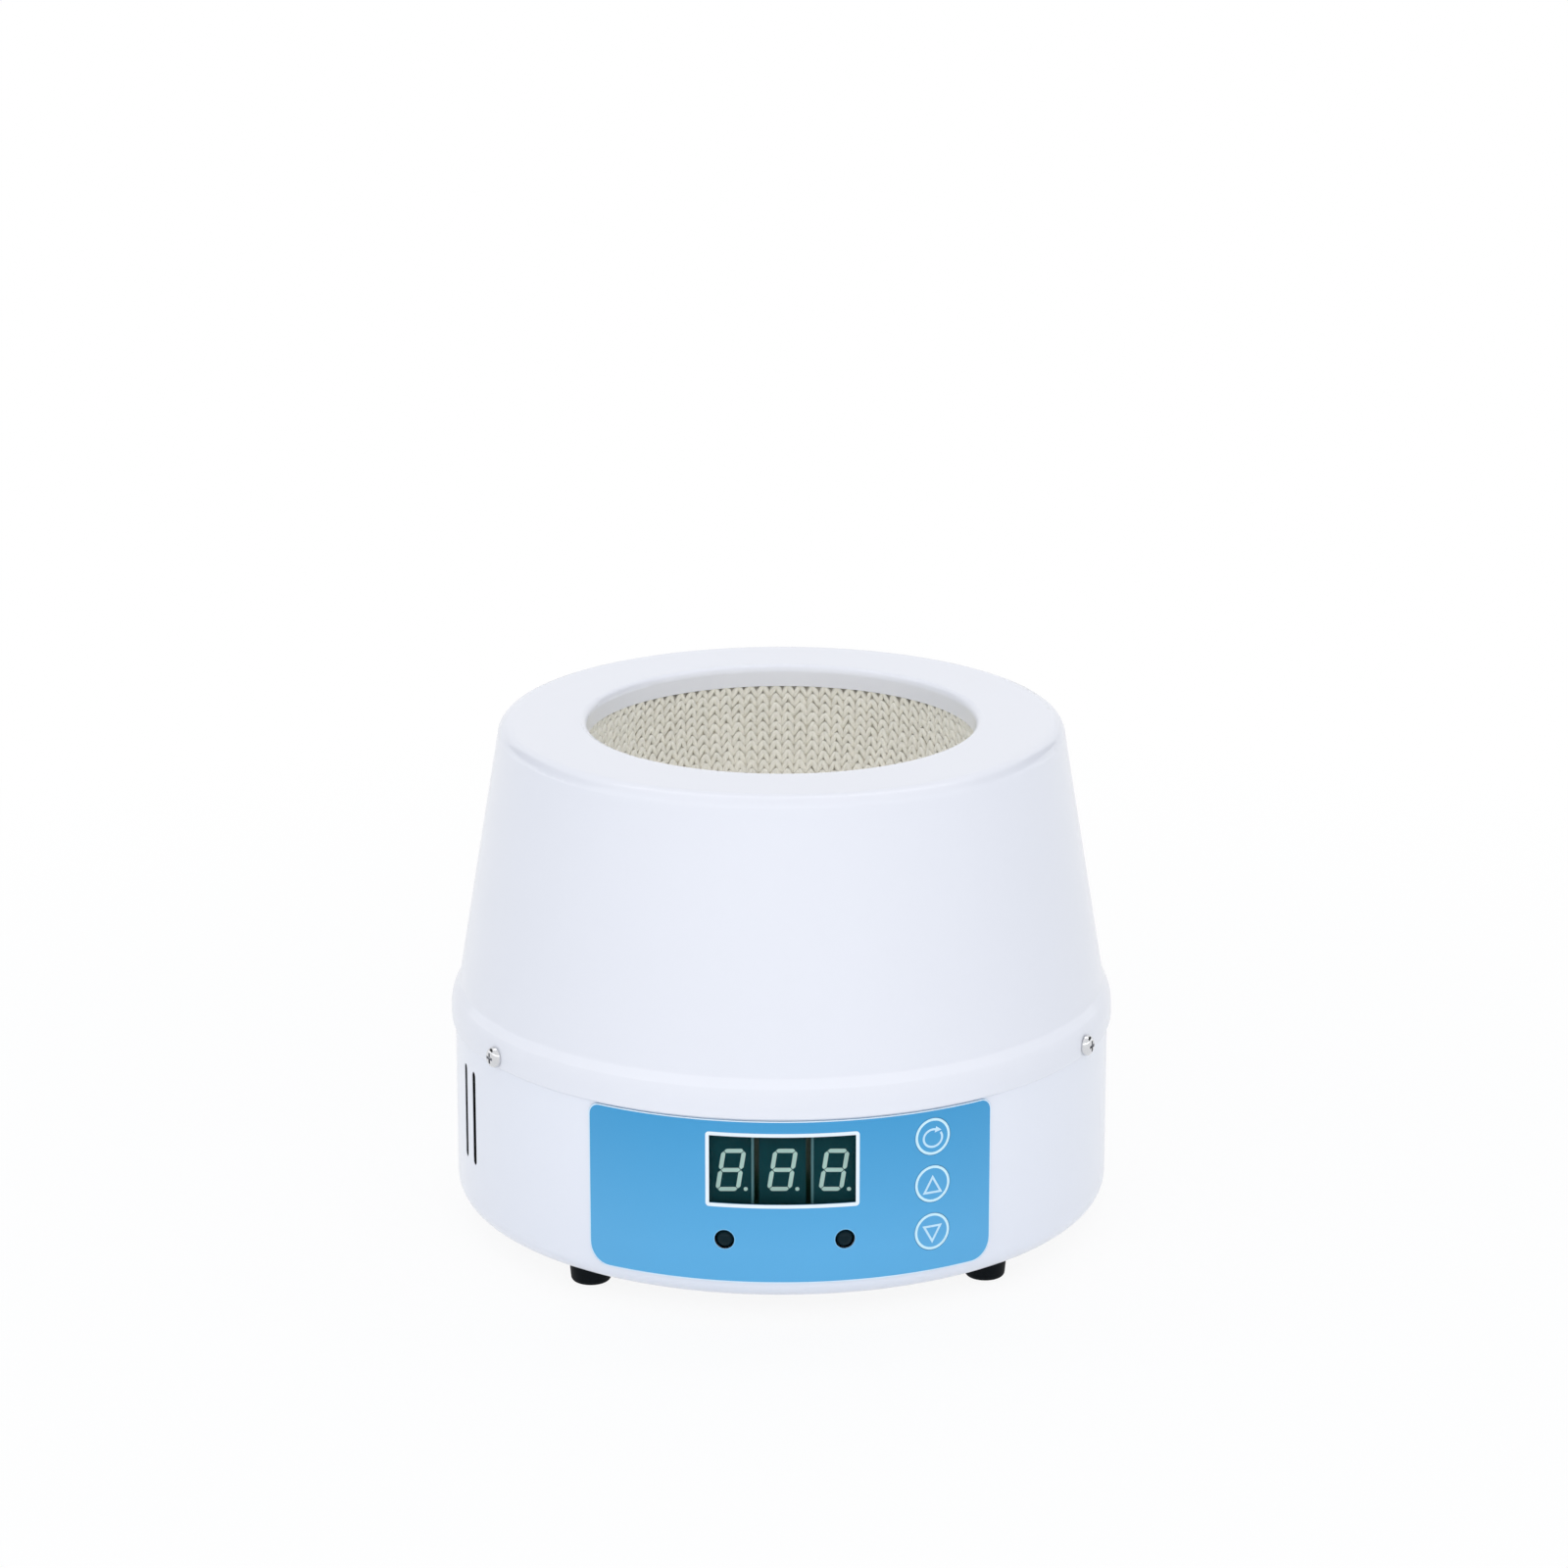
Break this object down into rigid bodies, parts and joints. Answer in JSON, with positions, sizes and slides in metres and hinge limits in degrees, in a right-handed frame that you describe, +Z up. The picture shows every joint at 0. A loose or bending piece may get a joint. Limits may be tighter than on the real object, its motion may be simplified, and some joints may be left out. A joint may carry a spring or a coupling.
{
  "type": "heating mantle",
  "caption": "Round heating mantle with a conical white shell on a drum base, a knitted bowl-shaped well, a blue digital control film, keys, vents and rubber feet.",
  "frame": {"origin": "on the drum's axis, at the floor under the feet", "axes": "+Z up along the axis of the well; the front with the display looks along -Y; +X is to the right as seen from the front"},
  "size_m": [0.1842, 0.1861, 0.1419],
  "materials": {
    "white_enamel": "smooth baked enamel, slight gloss",
    "zinc_plate": "zinc-plated sheet",
    "spun_aluminium": "spun, dull",
    "glass_knit": "knitted glass-fibre yarn",
    "mineral_wool": "felted ceramic fibre",
    "heating_alloy": "oxidised resistance alloy",
    "lead_sleeve": "braided glass sleeving",
    "steatite": "unglazed steatite",
    "blue_film": "fine matt polyester film",
    "clear_film": "clear",
    "dark_module": "dark resin with a satin face",
    "pale_segment": "unlit translucent resin",
    "smoked_lamp": "dark tinted resin",
    "circuit_green": "solder-masked board",
    "black_resin": "moulded, fine grain",
    "black_gloss": "moulded, polished",
    "black_rubber": "moulded, dull",
    "bright_steel": "bright plated",
    "tinned_brass": "stamped, plated",
    "core_iron": "stacked laminations",
    "coil_tape": "yellow winding tape",
    "capacitor_sleeve": "shrunk sleeve",
    "fuse_glass": "clear tube",
    "wire_jacket": "soft sheath",
    "earth_jacket": "green sheath",
    "ribbon_jacket": "flat ribbon"
  },
  "bodies": {
    "housing": {"base_pan": "white_enamel", "board_chip": "black_resin", "board_connectors": "black_resin", "board_screws": "bright_steel", "board_spacers": "bright_steel", "bowl_cradle": "spun_aluminium", "bracket_rivets": "bright_steel", "digit_left": "dark_module", "digit_middle": "dark_module", "digit_right": "dark_module", "digit_segments": "pale_segment", "display_board": "circuit_green", "display_lens": "clear_film", "earth_lead": "earth_jacket", "earth_stud": "bright_steel", "filter_capacitor": "capacitor_sleeve", "foot_front_left": "black_rubber", "foot_front_right": "black_rubber", "foot_rear_left": "black_rubber", "foot_rear_right": "black_rubber", "foot_screws": "bright_steel", "heat_shield": "zinc_plate", "heat_sink": "spun_aluminium", "heater_element": "heating_alloy", "heater_leads": "lead_sleeve", "heating_bowl": "glass_knit", "inlet_blades": "tinned_brass", "insulation": "mineral_wool", "key_board": "circuit_green", "key_switches": "black_resin", "lamp_leads": "tinned_brass", "lamp_left": "smoked_lamp", "lamp_right": "smoked_lamp", "lead_bushings": "steatite", "mains_leads": "wire_jacket", "pan_nuts": "bright_steel", "panel_bracket": "zinc_plate", "panel_film": "blue_film", "power_board": "circuit_green", "power_inlet": "black_resin", "ribbon_cable": "ribbon_jacket", "sensor_gland": "bright_steel", "sensor_lead": "wire_jacket", "sensor_probe": "bright_steel", "shell_nuts": "bright_steel", "shell_screws": "bright_steel", "switch_frame": "black_resin", "switch_tabs": "tinned_brass", "terminal_block": "steatite", "transformer_coil": "coil_tape", "transformer_core": "core_iron", "triac": "black_resin", "upper_shell": "white_enamel"},
    "set_key_body": {"set_key": "blue_film"},
    "up_key_body": {"up_key": "blue_film"},
    "down_key_body": {"down_key": "blue_film"},
    "rocker_body": {"power_rocker": "black_gloss"},
    "drawer_body": {"fuse_drawer": "black_resin", "fuse": "fuse_glass"}
  },
  "joints": [
    {"name": "set_key_press", "type": "slide", "parent": "housing", "child": "set_key_body", "axis": [-0.4123, 0.911, 0], "range_m": [0, 0.0004], "stiffness_N_per_m": 2500},
    {"name": "up_key_press", "type": "slide", "parent": "housing", "child": "up_key_body", "axis": [-0.4123, 0.911, 0], "range_m": [0, 0.0004], "stiffness_N_per_m": 2500},
    {"name": "down_key_press", "type": "slide", "parent": "housing", "child": "down_key_body", "axis": [-0.4123, 0.911, 0], "range_m": [0, 0.0004], "stiffness_N_per_m": 2500},
    {"name": "rocker_tilt", "type": "hinge", "parent": "housing", "child": "rocker_body", "pos_m": [0.0175, 0.0876, 0.03313], "axis": [-1, 0, 0], "range_deg": [0, 20]},
    {"name": "drawer_pull", "type": "slide", "parent": "housing", "child": "drawer_body", "axis": [0, 1, 0], "range_m": [0, 0.016]}
  ]
}
